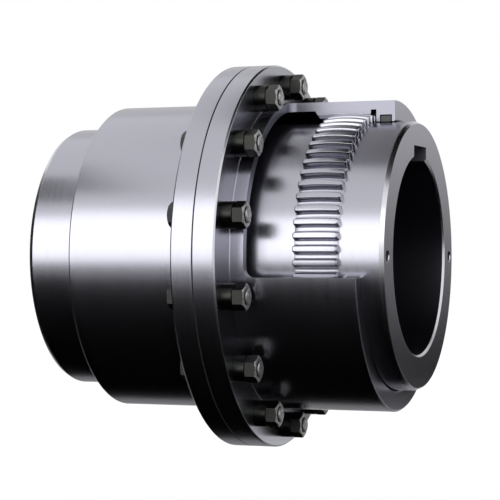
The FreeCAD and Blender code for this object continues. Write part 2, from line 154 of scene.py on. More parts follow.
# Worked out from the sizes above
SEAM_X = -SHAFT_GAP / 2
HALF_PITCH = math.pi / TOOTH_COUNT
PITCH_RADIUS = TOOTH_MODULE * TOOTH_COUNT / 2
GAP_HALF_WIDTH = (math.pi * TOOTH_MODULE / 2 + TOOTH_PLAY / 2) / 2
HUB_GAP_HALF_WIDTH = GAP_HALF_WIDTH - HUB_TOOTH_GAIN
SLEEVE_GAP_HALF_WIDTH = GAP_HALF_WIDTH + HUB_TOOTH_GAIN
CROWN_CENTRE = PITCH_RADIUS - CROWN_RADIUS
FLANGE_SEAT = GASKET_THICKNESS / 2
FLANGE_BACK = FLANGE_SEAT + FLANGE_THICKNESS
END_BORE_RADIUS = HUB_RADIUS + RUNNING_CLEARANCE
SEAL_END = SLEEVE_REACH - LIP_WIDTH
SEAL_START = SEAL_END - SEAL_WIDTH
SEAL_INNER_RADIUS = HUB_RADIUS + SEAL_CLEARANCE
SEAL_OUTER_RADIUS = SEAL_INNER_RADIUS + SEAL_HEIGHT
RELIEF_END = SEAL_START - SEAL_LAND
RELIEF_START = RELIEF_END - RELIEF_WIDTH
SLEEVE_TIP_RADIUS = PITCH_RADIUS - SLEEVE_ADDENDUM
SLEEVE_ROOT_RADIUS = PITCH_RADIUS + SLEEVE_DEDENDUM
NUT_SEAT = FLANGE_BACK + COLLAR_LENGTH
WASHER_SEAT = BARREL_RADIUS - SPOTFACE_DEPTH

# Edges that are only broken with a file, and edges inside holes, which are left sharper
SMALL_EDGE = 0.3
INNER_EDGE = 0.2

# How finely curves are drawn: points round a whole turn, and steps round a corner, which takes
# at most the corner share of each side
RING_COLUMNS = 256
SMALL_RING_COLUMNS = 64
HEXAGON_COLUMNS = 72
DRILL_COLUMNS = 48
BOLT_DRILL_COLUMNS = 32
SLICE_COLUMNS = 17
CORNER_SHARE = 0.45
LARGE_CORNER = 1.0
LARGE_CORNER_STEPS = 6
SMALL_CORNER_STEPS = 2

# A ring this far from the end of a straight stretch keeps the shading of the stretch even
GUARD = 1.0

# How far cutting shapes stand out of what they cut
CUTTER_OVERHANG = 10.0
DRILL_OVERHANG = 5.0
SPOTFACE_OVERHANG = 6.0
SOCKET_OVERHANG = 3.0
BOLT_DRILL_OVERHANG = 1.0

# How near a face has to be to a size to be taken for it, and from what share of its normal on it
# faces outwards or along the shafts, or only slants that way
NEAR = 0.1
VERY_NEAR = 0.05
FACING = 0.8
SLANTING = (0.3, 0.9)


# Materials. Grains are in millimetres; nearly all of a noise lies within its span.

OXIDE_GRAIN = 3.0
WEAR_AND_HIGHLIGHT_GRAIN = 2.2
NOISE_SPAN = (0.3, 0.7)


def linear(hex_colour):
    """A colour written in sRGB hex, as linear red, green, blue and alpha."""
    values = [int(hex_colour[i:i + 2], 16) / 255 for i in (1, 3, 5)]
    return [v / 12.92 if v <= 0.04045 else ((v + 0.055) / 1.055) ** 2.4 for v in values] + [1.0]


def new_material(name):
    """An empty node material, with its output and one principled shader."""
    material = bpy.data.materials.new(name)
    material.use_nodes = True
    tree = material.node_tree
    return material, tree, tree.nodes["Principled BSDF"]


def even_material(name, colour, roughness, metallic=0.0):
    """A material that has the same colour and roughness all over."""
    material, _, shader = new_material(name)
    shader.inputs["Base Color"].default_value = linear(colour)
    shader.inputs["Roughness"].default_value = roughness
    shader.inputs["Metallic"].default_value = metallic
    return material


def add(tree, kind, links={}, **settings):
    """Add a node with its settings; links maps its inputs to values or to other outputs."""
    node = tree.nodes.new(kind)
    for name, value in settings.items():
        setattr(node, name, value)
    for key, source in links.items():
        if isinstance(source, bpy.types.NodeSocket):
            tree.links.new(source, node.inputs[key])
        else:
            node.inputs[key].default_value = source
    return node


def shaft_coordinates(tree):
    """Outputs with the reach along the shaft, the distance from it and the angle round it."""
    place = add(tree, "ShaderNodeTexCoord").outputs["Object"]
    parts = add(tree, "ShaderNodeSeparateXYZ", {0: place})
    across = add(tree, "ShaderNodeCombineXYZ", {1: parts.outputs["Y"], 2: parts.outputs["Z"]})
    radius = add(tree, "ShaderNodeVectorMath", {0: across.outputs[0]}, operation="LENGTH")
    angle = add(tree, "ShaderNodeMath", {0: parts.outputs["Y"], 1: parts.outputs["Z"]},
                operation="ARCTAN2")
    return parts.outputs["X"], radius.outputs["Value"], angle.outputs[0]


def turning_marks(tree, spacing, waviness):
    """Noise drawn out round the shaft: rings on a face, hairlines round a barrel."""
    rings = add(tree, "ShaderNodeCombineXYZ")
    marks_per_metre = 1 / (spacing * MM)
    factors = (marks_per_metre, marks_per_metre, waviness)
    for i, (source, factor) in enumerate(zip(shaft_coordinates(tree), factors)):
        scaled = add(tree, "ShaderNodeMath", {0: source, 1: factor}, operation="MULTIPLY")
        tree.links.new(scaled.outputs[0], rings.inputs[i])
    noise = add(tree, "ShaderNodeTexNoise", {
        "Vector": rings.outputs[0], "Scale": 1.0, "Detail": 2.0, "Roughness": 0.6})
    return noise.outputs["Fac"]


def vary_metal(tree, shader, pattern, span, colours, roughnesses):
    """Lead a metal's colour and roughness from one value to the other over a pattern's span."""
    tint = add(tree, "ShaderNodeMix", {
        "Factor": pattern, "A": linear(colours[0]), "B": linear(colours[1])}, data_type="RGBA")
    roughness = add(tree, "ShaderNodeMapRange", {
        "Value": pattern, "From Min": span[0], "From Max": span[1],
        "To Min": roughnesses[0], "To Max": roughnesses[1]})
    tree.links.new(tint.outputs["Result"], shader.inputs["Base Color"])
    tree.links.new(roughness.outputs["Result"], shader.inputs["Roughness"])
    shader.inputs["Metallic"].default_value = 1.0


def make_turned_steel():
    """Alloy steel, finish-turned: cool grey, a soft sheen that the tool marks draw out."""
    material, tree, shader = new_material("turned_steel")
    marks = turning_marks(tree, spacing=0.7, waviness=1.5)
    vary_metal(tree, shader, marks, NOISE_SPAN, ("#b0b0ba", "#b4b4be"), (0.22, 0.27))
    return material


def make_hobbed_flank():
    """Tooth flanks, hobbed and then shaved: the clearest of the turned and cut faces."""
    return even_material("hobbed_flank", "#b2b2bb", 0.2, metallic=1.0)


def make_bore_shade_steel():
    """The bore, reamed after boring: painted darker than the turned steel, as painted shade
    inside the bore; satin.
    """
    return even_material("bore_steel_painted_shade", "#6e6e78", 0.3, metallic=1.0)


def make_ground_and_highlight_steel():
    """Ends of teeth and outer chamfers, finished by grinding: the palest and clearest of the
    steel. On the right flange's outer chamfer, and there alone, it is a painted highlight.
    """
    return even_material("ground_steel_and_painted_highlight", "#d8d8de", 0.25, metallic=1.0)


def make_milled_section():
    """The milled cut through the sleeve: even grey, finer and flatter than turning."""
    return even_material("milled_section", "#9a9aa5", 0.38, metallic=1.0)


def make_black_oxide():
    """Steel fasteners, blackened in hot salts and oiled: dark, with a low metallic shine."""
    material, tree, shader = new_material("black_oxide_steel")
    place = add(tree, "ShaderNodeTexCoord").outputs["Object"]
    mottle = add(tree, "ShaderNodeTexNoise", {
        "Vector": place, "Scale": 1 / (OXIDE_GRAIN * MM), "Detail": 3.0})
    vary_metal(tree, shader, mottle.outputs["Fac"], NOISE_SPAN, ("#2c2d2b", "#3b3c39"),
               (0.26, 0.38))
    return material


def make_worn_and_highlight_oxide():
    """Black oxide rubbed through to pale steel in patches: partly real rubbing, partly a painted
    highlight on the ends and chamfers.
    """
    material, tree, shader = new_material("worn_black_oxide_and_painted_highlight")
    place = add(tree, "ShaderNodeTexCoord").outputs["Object"]
    wear_and_highlight_noise = add(tree, "ShaderNodeTexNoise", {
        "Vector": place, "Scale": 1 / (WEAR_AND_HIGHLIGHT_GRAIN * MM), "Detail": 4.0, "Roughness": 0.65})
    bare_and_highlight = add(tree, "ShaderNodeMapRange", {
        "Value": wear_and_highlight_noise.outputs["Fac"], "From Min": NOISE_SPAN[0], "From Max": NOISE_SPAN[1]})
    vary_metal(tree, shader, bare_and_highlight.outputs["Result"], (0.0, 1.0), ("#70706a", "#f4f4f6"),
               (0.5, 0.65))
    return material


def make_seal_rubber():
    """Nitrile rubber, moulded: dark grey and matt."""
    return even_material("nitrile_rubber", "#48484b", 0.55)


def make_gasket_fibre():
    """Compressed fibre sheet: dark grey, quite matt."""
    return even_material("gasket_fibre", "#2a2a2c", 0.8)


def make_washer_aluminium():
    """Soft aluminium, stamped: pale, with a satin face."""
    return even_material("washer_aluminium", "#d2d3d5", 0.42, metallic=1.0)


TURNED = make_turned_steel()
FLANK = make_hobbed_flank()
BORE_SHADE = make_bore_shade_steel()
GROUND_AND_HIGHLIGHT = make_ground_and_highlight_steel()
MILLED = make_milled_section()
BLACK = make_black_oxide()
WORN_AND_HIGHLIGHT = make_worn_and_highlight_oxide()
RUBBER = make_seal_rubber()
FIBRE = make_gasket_fibre()
ALUMINIUM = make_washer_aluminium()


# Outlines. A point is (reach, radius); a corner may have a third value, the size of its rounding.

def round_corner(before, corner, after, size, steps):
    """Points of a curve that cuts a corner off, size away from it where both sides allow."""
    before, corner, after = Vector(before), Vector(corner), Vector(after)
    away = min(size, (before - corner).length * CORNER_SHARE,
               (after - corner).length * CORNER_SHARE)
    start = corner + (before - corner).normalized() * away
    end = corner + (after - corner).normalized() * away
    points = []
    for i in range(steps + 1):
        t = i / steps
        point = start * (1 - t) ** 2 + corner * (2 * t * (1 - t)) + end * t ** 2
        points.append(tuple(point))
    return points


def rounded(corners, closed=False):
    """An outline with its corners rounded; the two ends of an open one stay as they are."""
    points = []
    count = len(corners)
    for i, (reach, radius, *size) in enumerate(corners):
        if not closed and i in (0, count - 1):
            points.append((reach, radius))
            continue
        size = size[0] if size else SMALL_EDGE
        steps = LARGE_CORNER_STEPS if size >= LARGE_CORNER else SMALL_CORNER_STEPS
        before = corners[i - 1][:2]
        after = corners[(i + 1) % count][:2]
        points += round_corner(before, (reach, radius), after, size, steps)
    return points


# Toothed rings. A ring is the list of (reach, angle, radius) across one tooth pitch.

def tooth_ring(reach, root_corner, knee, tip_corner, tip_radius):
    """One pitch from gap to gap; the corners and the knee are (across, up) as seen in the gap."""
    root_middle = (0.0, root_corner[1])
    tooth_middle = (tip_radius * math.sin(HALF_PITCH), tip_radius * math.cos(HALF_PITCH))
    half = [root_middle]
    half += round_corner(root_middle, root_corner, knee, TOOTH_ROOT_FILLET, SMALL_CORNER_STEPS)
    half.append(knee)
    half += round_corner(knee, tip_corner, tooth_middle, TOOTH_EDGE, SMALL_CORNER_STEPS)
    polar = [(math.atan2(across, up), math.hypot(across, up)) for across, up in half]
    ring = [(reach, angle, radius) for angle, radius in polar]
    ring.append((reach, HALF_PITCH, tip_radius))
    ring += [(reach, 2 * HALF_PITCH - angle, radius) for angle, radius in reversed(polar)]
    return ring


def end_cut(depth, rounding):
    """How much a rounding of a length and a height takes off at a depth from the end."""
    length, height = rounding
    missing = max(0.0, 1 - depth / length)
    return height * (1 - math.sqrt(1 - missing ** 2))


def hub_tooth_ring(reach, depth):
    """The crowned tooth at one reach, at a depth from its rounded end."""
    offset = reach - MESH_REACH
    slopes = [math.tan(angle + HALF_PITCH) for angle in HUB_FLANK_ANGLES]
    tip_arc = CROWN_RADIUS + HUB_ADDENDUM
    tip_radius = CROWN_CENTRE + math.sqrt(tip_arc ** 2 - offset ** 2)
    tip_radius -= end_cut(depth, TOOTH_TIP_ROUNDING)
    side_cut = end_cut(depth, TOOTH_END_ROUNDING)

    def gap_corner(height):
        slope = slopes[height > CROWN_RADIUS]
        across = HUB_GAP_HALF_WIDTH + (height - CROWN_RADIUS) * slope + side_cut
        return across, CROWN_CENTRE + math.sqrt(height ** 2 - offset ** 2)

    root_corner = gap_corner(CROWN_RADIUS - HUB_DEDENDUM)
    height = math.hypot(tip_radius - CROWN_CENTRE, offset)
    for _ in range(4):
        height += tip_radius - math.hypot(*gap_corner(height))
    knee = gap_corner(CROWN_RADIUS)
    return tooth_ring(reach, root_corner, knee, gap_corner(height), tip_radius)


def sleeve_tooth_ring(reach, tip_radius):
    """The straight internal tooth at one reach."""
    def gap_corner(radius):
        across = SLEEVE_GAP_HALF_WIDTH - (radius - PITCH_RADIUS) * math.tan(SLEEVE_FLANK_ANGLE)
        return across, radius

    up = tip_radius
    for _ in range(3):
        up = math.sqrt(tip_radius ** 2 - gap_corner(up)[0] ** 2)
    root_corner, tip_corner = Vector(gap_corner(SLEEVE_ROOT_RADIUS)), Vector(gap_corner(up))
    flank_middle = (root_corner + tip_corner) / 2
    return tooth_ring(reach, root_corner, flank_middle, tip_corner, tip_radius)


def plain_ring(point):
    """A smooth ring with as many columns as a toothed one."""
    reach, radius = point
    step = 2 * HALF_PITCH / (SLICE_COLUMNS - 1)
    return [(reach, step * i, radius) for i in range(SLICE_COLUMNS)]


# Meshes

def mesh_object(name, vertices, faces):
    """An object from points in millimetres measured from the seam."""
    mesh = bpy.data.meshes.new(name)
    mesh.from_pydata([(x * MM, y * MM, z * MM) for x, y, z in vertices], [], faces)
    mesh.update()
    thing = bpy.data.objects.new(name, mesh)
    bpy.context.scene.collection.objects.link(thing)
    return thing


def grid_faces(rows, columns, closed_rows, closed_columns):
    """Quads between neighbouring points of a grid."""
    faces = []
    for i in range(rows if closed_rows else rows - 1):
        for j in range(columns if closed_columns else columns - 1):
            a, b = i * columns, (i + 1) % rows * columns
            k = (j + 1) % columns
            faces.append((a + j, a + k, b + k, b + j))
    return faces


def pitch_slice(name, rings, first_angle):
    """The wall of one tooth pitch, turned so that it starts at an angle from the top."""
    points = []
    for ring in rings:
        for reach, angle, radius in ring:
            turned = angle + first_angle
            points.append((reach, radius * math.sin(turned), radius * math.cos(turned)))
    return mesh_object(name, points, grid_faces(len(rings), len(rings[0]), True, False))


def lathe(name, outline, columns):
    """A closed outline turned about the shafts' axis."""
    points = []
    for reach, radius in outline:
        for i in range(columns):
            angle = FULL_TURN * i / columns
            points.append((reach, radius * math.sin(angle), radius * math.cos(angle)))
    return mesh_object(name, points, grid_faces(len(outline), columns, True, True))


def turned_solid(name, outline, columns):
    """An open outline, from the axis to the axis, turned about the axis and closed there."""
    points = [(outline[0][0], 0, 0)]
    for reach, radius in outline[1:-1]:
        for i in range(columns):
            angle = FULL_TURN * i / columns
            points.append((reach, radius * math.sin(angle), radius * math.cos(angle)))
    points.append((outline[-1][0], 0, 0))
    rows = len(outline) - 2
    faces = [tuple(k + 1 for k in face) for face in grid_faces(rows, columns, False, True)]
    last = len(points) - 1
    for i in range(columns):
        k = (i + 1) % columns
        faces.append((0, 1 + i, 1 + k))
        faces.append((last, last - columns + k, last - columns + i))
    return mesh_object(name, points, faces)


def build_repeat_tree():
    """The node tree that repeats a unit round the shafts' axis, turned with the angle or not."""
    tree = bpy.data.node_groups.new("repeat_round_axis", "GeometryNodeTree")
    sockets = [("Unit", "NodeSocketGeometry"), ("Count", "NodeSocketInt"),
               ("Circle Radius", "NodeSocketFloat"), ("Turning", "NodeSocketFloat"),
               ("Merge Distance", "NodeSocketFloat"), ("Material", "NodeSocketMaterial")]
    for name, kind in sockets:
        tree.interface.new_socket(name, in_out="INPUT", socket_type=kind)
    tree.interface.new_socket("Result", in_out="OUTPUT", socket_type="NodeSocketGeometry")
    given = add(tree, "NodeGroupInput").outputs

    step = add(tree, "ShaderNodeMath", {0: FULL_TURN, 1: given["Count"]}, operation="DIVIDE")
    number = add(tree, "GeometryNodeInputIndex")
    angle = add(tree, "ShaderNodeMath", {0: number.outputs[0], 1: step.outputs[0]},
                operation="MULTIPLY").outputs[0]
    place = add(tree, "ShaderNodeCombineXYZ")
    for axis, operation in (("Y", "SINE"), ("Z", "COSINE")):
        share = add(tree, "ShaderNodeMath", {0: angle}, operation=operation)
        length = add(tree, "ShaderNodeMath", {0: share.outputs[0], 1: given["Circle Radius"]},
                     operation="MULTIPLY")
        tree.links.new(length.outputs[0], place.inputs[axis])
    turned = add(tree, "ShaderNodeMath", {0: angle, 1: given["Turning"]}, operation="MULTIPLY")
    back = add(tree, "ShaderNodeMath", {0: turned.outputs[0], 1: -1.0}, operation="MULTIPLY")
    rotation = add(tree, "ShaderNodeCombineXYZ", {0: back.outputs[0]})
    points = add(tree, "GeometryNodePoints", {"Count": given["Count"],
                                              "Position": place.outputs[0]})
    copies = add(tree, "GeometryNodeInstanceOnPoints", {
        "Points": points.outputs[0], "Instance": given["Unit"], "Rotation": rotation.outputs[0]})
    real = add(tree, "GeometryNodeRealizeInstances", {0: copies.outputs[0]})
    merged = add(tree, "GeometryNodeMergeByDistance", {
        "Geometry": real.outputs[0], "Distance": given["Merge Distance"]})
    finished = add(tree, "GeometryNodeSetMaterial", {
        "Geometry": merged.outputs[0], "Material": given["Material"]})
    add(tree, "NodeGroupOutput", {0: finished.outputs[0]})
    return tree


REPEAT = build_repeat_tree()


def plain_copy(thing, name):
    """What an object shows, modifiers included, as a new object with a plain mesh."""
    view = bpy.context.evaluated_depsgraph_get()
    mesh = bpy.data.meshes.new_from_object(thing.evaluated_get(view))
    mesh.name = name
    copy = bpy.data.objects.new(name, mesh)
    bpy.context.scene.collection.objects.link(copy)
    bpy.data.objects.remove(thing)
    return copy


def repeat_round(unit, name, material, count, circle_radius=0.0, turning=1.0, merge=0.0005):
    """Copies of a unit round the shafts' axis, as one plain mesh."""
    modifier = unit.modifiers.new("repeat", "NODES")
    modifier.node_group = REPEAT
    values = {"Count": count, "Circle Radius": circle_radius * MM, "Turning": turning,
              "Merge Distance": merge * MM, "Material": material}
    for socket in REPEAT.interface.items_tree:
        if socket.in_out == "INPUT" and socket.name in values:
            modifier[socket.identifier] = values[socket.name]
    return plain_copy(unit, name)


def face_outwards(thing):
    """Turn every face of a closed mesh outwards."""
    work = bmesh.new()
    work.from_mesh(thing.data)
    bmesh.ops.recalc_face_normals(work, faces=work.faces)
    work.to_mesh(thing.data)
    work.free()


def join(things, name):
    """Several objects' meshes as one object."""
    work = bmesh.new()
    for thing in things:
        work.from_mesh(thing.data)
        bpy.data.objects.remove(thing)
    mesh = bpy.data.meshes.new(name)
    work.to_mesh(mesh)
    work.free()
    joined = bpy.data.objects.new(name, mesh)
    bpy.context.scene.collection.objects.link(joined)
    return joined


def cut(thing, cutter, material):
    """Cut a shape out of an object; the cut faces get their own material."""
    name = thing.name
    cutter.data.materials.clear()
    cutter.data.materials.append(material)
    face_outwards(thing)
    face_outwards(cutter)
    modifier = thing.modifiers.new("cut", "BOOLEAN")
    modifier.operation = "DIFFERENCE"
    modifier.solver = "EXACT"
    modifier.material_mode = "TRANSFER"
    modifier.object = cutter
    thing.name = "uncut"
    result = plain_copy(thing, name)
    bpy.data.objects.remove(cutter)
    return result


def smooth(thing, sharp_angle=32):
    """Smooth shading that keeps edges sharper than an angle, with flat faces kept flat."""
    face_outwards(thing)
    mesh = thing.data
    mesh.shade_smooth()
    mesh.set_sharp_from_angle(angle=math.radians(sharp_angle))
    weighted = thing.modifiers.new("weighted_normals", "WEIGHTED_NORMAL")
    weighted.keep_sharp = True
    return plain_copy(thing, thing.name + "_finished")


def transform(thing, matrix):
    """Move an object's mesh, leaving the object at the origin."""
    thing.data.transform(matrix)
    thing.data.update()


def put_on_side(thing, side):
    """Move a mesh from the seam to its place in the frame; the left half is turned round."""
    turn = Matrix.Rotation(math.pi if side == "left" else 0.0, 4, "Z")
    transform(thing, Matrix.Translation((SEAM_X * MM, 0, 0)) @ turn)


def finish_piece(thing, name, node, body):
    """Name a finished piece and let it stand for its node of the frame."""
    thing.name = name
    thing.data.name = name
    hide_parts(node)
    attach(thing, body)


# Cutting shapes

def block(name, low, high):
    """A box between two corners."""
    corners = [(x, y, z) for x in (low[0], high[0]) for y in (low[1], high[1])
               for z in (low[2], high[2])]
    faces = [(0, 1, 3, 2), (4, 6, 7, 5), (0, 4, 5, 1), (2, 3, 7, 6), (0, 2, 6, 4), (1, 5, 7, 3)]
    return mesh_object(name, corners, faces)


def bevel_edges(thing, wanted, size, segments):
    """Round the edges whose middle, in millimetres, the wanted test accepts."""
    work = bmesh.new()
    work.from_mesh(thing.data)
    edges = [edge for edge in work.edges
             if wanted((edge.verts[0].co + edge.verts[1].co) / 2 / MM)]
    bmesh.ops.bevel(work, geom=edges, offset=size * MM, segments=segments, profile=0.5,
                    affect="EDGES")
    work.to_mesh(thing.data)
    work.free()


def window_block():
    """The block that leaves the window, with its two inner edges rounded."""
    size = 2 * BARREL_RADIUS
    cutter = block("window", (WINDOW_START, -size, -WINDOW_DROP),
                   (SLEEVE_REACH + CUTTER_OVERHANG, -WINDOW_SETBACK, size))

    def inner(middle):
        on_floor = abs(middle.z + WINDOW_DROP) < NEAR
        on_back = abs(middle.y + WINDOW_SETBACK) < NEAR
        return abs(middle.x - WINDOW_START) < NEAR and on_floor != on_back

    bevel_edges(cutter, inner, WINDOW_CORNER, segments=12)
    return cutter


def keyway_block(reach):
    """The keyway's broach, with its two upper corners rounded."""
    half = KEYWAY_WIDTH / 2
    top = BORE_RADIUS + KEYWAY_DEPTH
    cutter = block("keyway", (0, -half, BORE_RADIUS / 2), (reach + CUTTER_OVERHANG, half, top))

    def upper(middle):
        return abs(middle.z - top) < NEAR and abs(abs(middle.y) - half) < NEAR

    bevel_edges(cutter, upper, KEYWAY_CORNER, segments=3)
    return cutter


def drill(name, radius, start, end, mouth):
    """A straight drill along the shafts' axis whose end opens out into a chamfer."""
    outline = [(start, 0), (start, radius), (end - mouth, radius), (end, radius + mouth),
               (end + DRILL_OVERHANG, radius + mouth), (end + DRILL_OVERHANG, 0)]
    return turned_solid(name, outline, DRILL_COLUMNS)


def puller_drills(reach):
    """The drills for both puller holes."""
    drills = []
    for side in (-1, 1):
        one = drill("puller", PULLER_HOLE_RADIUS, reach - PULLER_HOLE_DEPTH, reach,
                    PULLER_HOLE_CHAMFER)
        transform(one, Matrix.Translation((0, side * PULLER_CIRCLE_RADIUS * MM, 0)))
        drills.append(one)
    return drills


def bolt_drills():
    """The drills for the ring of bolt holes in a flange."""
    start, end = FLANGE_SEAT - BOLT_DRILL_OVERHANG, FLANGE_BACK + BOLT_DRILL_OVERHANG
    outline = [(start, 0), (start, BOLT_HOLE_RADIUS), (end, BOLT_HOLE_RADIUS), (end, 0)]
    unit = turned_solid("bolt_drill", outline, BOLT_DRILL_COLUMNS)
    return repeat_round(unit, "bolt_drills", MILLED, BOLT_COUNT, BOLT_CIRCLE_RADIUS)


def radial(angle, radius, reach):
    """The matrix that stands a piece drawn along X on the barrel, pointing outwards."""
    outwards = Vector((0, math.sin(angle), math.cos(angle)))
    along = Vector((0, -math.cos(angle), math.sin(angle)))
    across = outwards.cross(along)
    turn = Matrix((outwards, along, across)).transposed().to_4x4()
    return Matrix.Translation(Vector((reach, 0, 0)) * MM + outwards * radius * MM) @ turn


def plug_drills(side):
    """The lubrication holes and spot faces of a sleeve, on the far side of the coupling."""
    hole_radius = PLUG_RADIUS + PLUG_HOLE_PLAY
    outline = [(-PLUG_HOLE_DEPTH, 0), (-PLUG_HOLE_DEPTH, hole_radius), (0, hole_radius),
               (0, SPOTFACE_RADIUS), (SPOTFACE_OVERHANG, SPOTFACE_RADIUS),
               (SPOTFACE_OVERHANG, 0)]
    drills = []
    for angle in PLUG_ANGLES.values():
        angle = -angle if side == "left" else angle
        one = turned_solid("plug_drill", outline, DRILL_COLUMNS)
        transform(one, radial(angle, WASHER_SEAT, PLUG_REACH))
        drills.append(one)
    return drills


# Pieces

def make_hub(side):
    """A hub: 68 equal slices of its wall, then the keyway and puller holes are cut."""
    reach = HUB_REACHES[side]
    half_width = HUB_TOOTH_WIDTH / 2
    inner = SHAFT_GAP / 2
    path = rounded([
        (MESH_REACH - half_width, HUB_RADIUS),
        (inner + HUB_INNER_CHAMFER, HUB_RADIUS),
        (inner, HUB_RADIUS - HUB_INNER_CHAMFER),
        (inner, BORE_RADIUS),
        (reach - BORE_CHAMFER, BORE_RADIUS),
        (reach, BORE_RADIUS + BORE_CHAMFER),
        (reach, HUB_RADIUS - HUB_EDGE[1]),
        (reach - HUB_EDGE[0], HUB_RADIUS),
        (MESH_REACH + half_width, HUB_RADIUS),
    ])
    rings = [plain_ring(point) for point in path]
    offsets = [half_width - depth for depth in TOOTH_RING_DEPTHS]
    for offset in offsets + [0] + [-offset for offset in reversed(offsets)]:
        rings.append(hub_tooth_ring(MESH_REACH + offset, half_width - abs(offset)))
    unit = pitch_slice("hub_slice", rings, 0.0)
    hub = repeat_round(unit, side + "_hub_wall", TURNED, TOOTH_COUNT)
    cutters = join([keyway_block(reach)] + puller_drills(reach), "hub_cutters")
    transform(cutters, Matrix.Rotation(HUB_TURNS[side], 4, "X"))
    hub = cut(hub, cutters, MILLED)
    paint_hub(hub, reach)
    hub = smooth(hub)
    put_on_side(hub, side)
    finish_piece(hub, side + "_hub_steel", side + "_hub", side + "_hub")


def add_finishes(thing, *finishes):
    """Add materials to an object; returns their places in its list."""
    first = len(thing.data.materials)
    for finish in finishes:
        thing.data.materials.append(finish)
    return range(first, first + len(finishes))


def paint_hub(hub, reach):
    """Give the bore its painted shade, and the chamfers and the flanks and ends of the teeth
    their own finishes.
    """
    flank, bore_shade, ground_and_highlight = add_finishes(hub, FLANK, BORE_SHADE, GROUND_AND_HIGHLIGHT)
    for face in hub.data.polygons:
        centre = face.center / MM
        outwards = Vector((0, centre.y, centre.z))
        radius = outwards.length
        along = abs(face.normal.x)
        on_teeth = abs(centre.x - MESH_REACH) < HUB_TOOTH_WIDTH / 2 + NEAR
        if on_teeth and radius > HUB_RADIUS + VERY_NEAR:
            if along > FACING:
                face.material_index = ground_and_highlight
            elif face.normal.dot(outwards) < FACING * radius:
                face.material_index = flank
        # The bore gets darker steel: painted shade inside the hollow
        elif radius < BORE_RADIUS + VERY_NEAR and centre.x < reach - BORE_CHAMFER:
            face.material_index = bore_shade
        elif centre.x > reach - HUB_EDGE[0] and SLANTING[0] < along < SLANTING[1]:
            face.material_index = ground_and_highlight


def make_sleeve(side):
    """A sleeve: 68 equal slices of its wall, then the holes and the window are cut."""
    slant = (RECESS_RADIUS - SLEEVE_TIP_RADIUS) / (SLEEVE_TOOTH_START - RECESS_REACH)
    first_tip = SLEEVE_ROOT_RADIUS - SLEEVE_TOOTH_LIFT
    rings = [sleeve_tooth_ring(RECESS_REACH + (RECESS_RADIUS - first_tip) / slant, first_tip)]
    rings += [sleeve_tooth_ring(reach, SLEEVE_TIP_RADIUS)
              for reach in (SLEEVE_TOOTH_START, SLEEVE_TOOTH_START + GUARD,
                            RELIEF_START - GUARD, RELIEF_START)]
    path = rounded([
        (RELIEF_START, SLEEVE_ROOT_RADIUS + RELIEF_DEPTH),
        (RELIEF_END, SLEEVE_ROOT_RADIUS + RELIEF_DEPTH),
        (RELIEF_END, END_BORE_RADIUS),
        (SEAL_START, END_BORE_RADIUS),
        (SEAL_START, SEAL_OUTER_RADIUS),
        (SEAL_END, SEAL_OUTER_RADIUS),
        (SEAL_END, END_BORE_RADIUS),
        (SLEEVE_REACH - END_BORE_CHAMFER, END_BORE_RADIUS),
        (SLEEVE_REACH, END_BORE_RADIUS + END_BORE_CHAMFER),
        (SLEEVE_REACH, BARREL_RADIUS - BARREL_CHAMFER),
        (SLEEVE_REACH - BARREL_CHAMFER, BARREL_RADIUS),
        (FLANGE_BACK, BARREL_RADIUS, FLANGE_FILLET),
        (FLANGE_BACK, FLANGE_RADIUS - FLANGE_EDGE),
        (FLANGE_BACK - FLANGE_EDGE, FLANGE_RADIUS),
        (FLANGE_SEAT + SEAM_EDGE, FLANGE_RADIUS),
        (FLANGE_SEAT, FLANGE_RADIUS - SEAM_EDGE),
        (FLANGE_SEAT, RECESS_RADIUS),
        (RECESS_REACH, RECESS_RADIUS),
    ])
    rings += [plain_ring(point) for point in path]
    unit = pitch_slice("sleeve_slice", rings, -HALF_PITCH)
    sleeve = repeat_round(unit, side + "_sleeve_wall", TURNED, TOOTH_COUNT)
    sleeve = cut(sleeve, join([bolt_drills()] + plug_drills(side), "sleeve_drills"), MILLED)
    if side == "right":
        sleeve = cut(sleeve, window_block(), MILLED)
        # A painted highlight on the right flange's outer chamfer only; the left one stays turned
        # steel
        paint_flange_edge_highlight(sleeve)
    sleeve = smooth(sleeve)
    put_on_side(sleeve, side)
    finish_piece(sleeve, side + "_sleeve_steel", side + "_sleeve", "sleeves")


def paint_flange_edge_highlight(sleeve):
    """Give the chamfer at the flange's outer edge the pale finish as a painted highlight; only
    the right sleeve is given it.
    """
    (ground_and_highlight,) = add_finishes(sleeve, GROUND_AND_HIGHLIGHT)
    for face in sleeve.data.polygons:
        radius = math.hypot(face.center.y, face.center.z) / MM
        if radius > FLANGE_RADIUS - FLANGE_EDGE and face.normal.x > SLANTING[0]:
            face.material_index = ground_and_highlight


def make_seal(side):
    """The square rubber ring in a sleeve's end; the window cuts through the right one."""
    start, end = SEAL_START + SEAL_PLAY, SEAL_END - SEAL_PLAY
    outer_radius = SEAL_OUTER_RADIUS - SEAL_PLAY
    outline = rounded([
        (start, SEAL_INNER_RADIUS, SEAL_CORNER),
        (end, SEAL_INNER_RADIUS, SEAL_CORNER),
        (end, outer_radius, SEAL_CORNER),
        (start, outer_radius, SEAL_CORNER),
    ], closed=True)
    seal = lathe(side + "_seal_ring", outline, RING_COLUMNS)
    seal.data.materials.append(RUBBER)
    if side == "right":
        seal = cut(seal, window_block(), RUBBER)
    seal = smooth(seal)
    put_on_side(seal, side)
    finish_piece(seal, side + "_seal_rubber", side + "_shaft_seal", "sleeves")


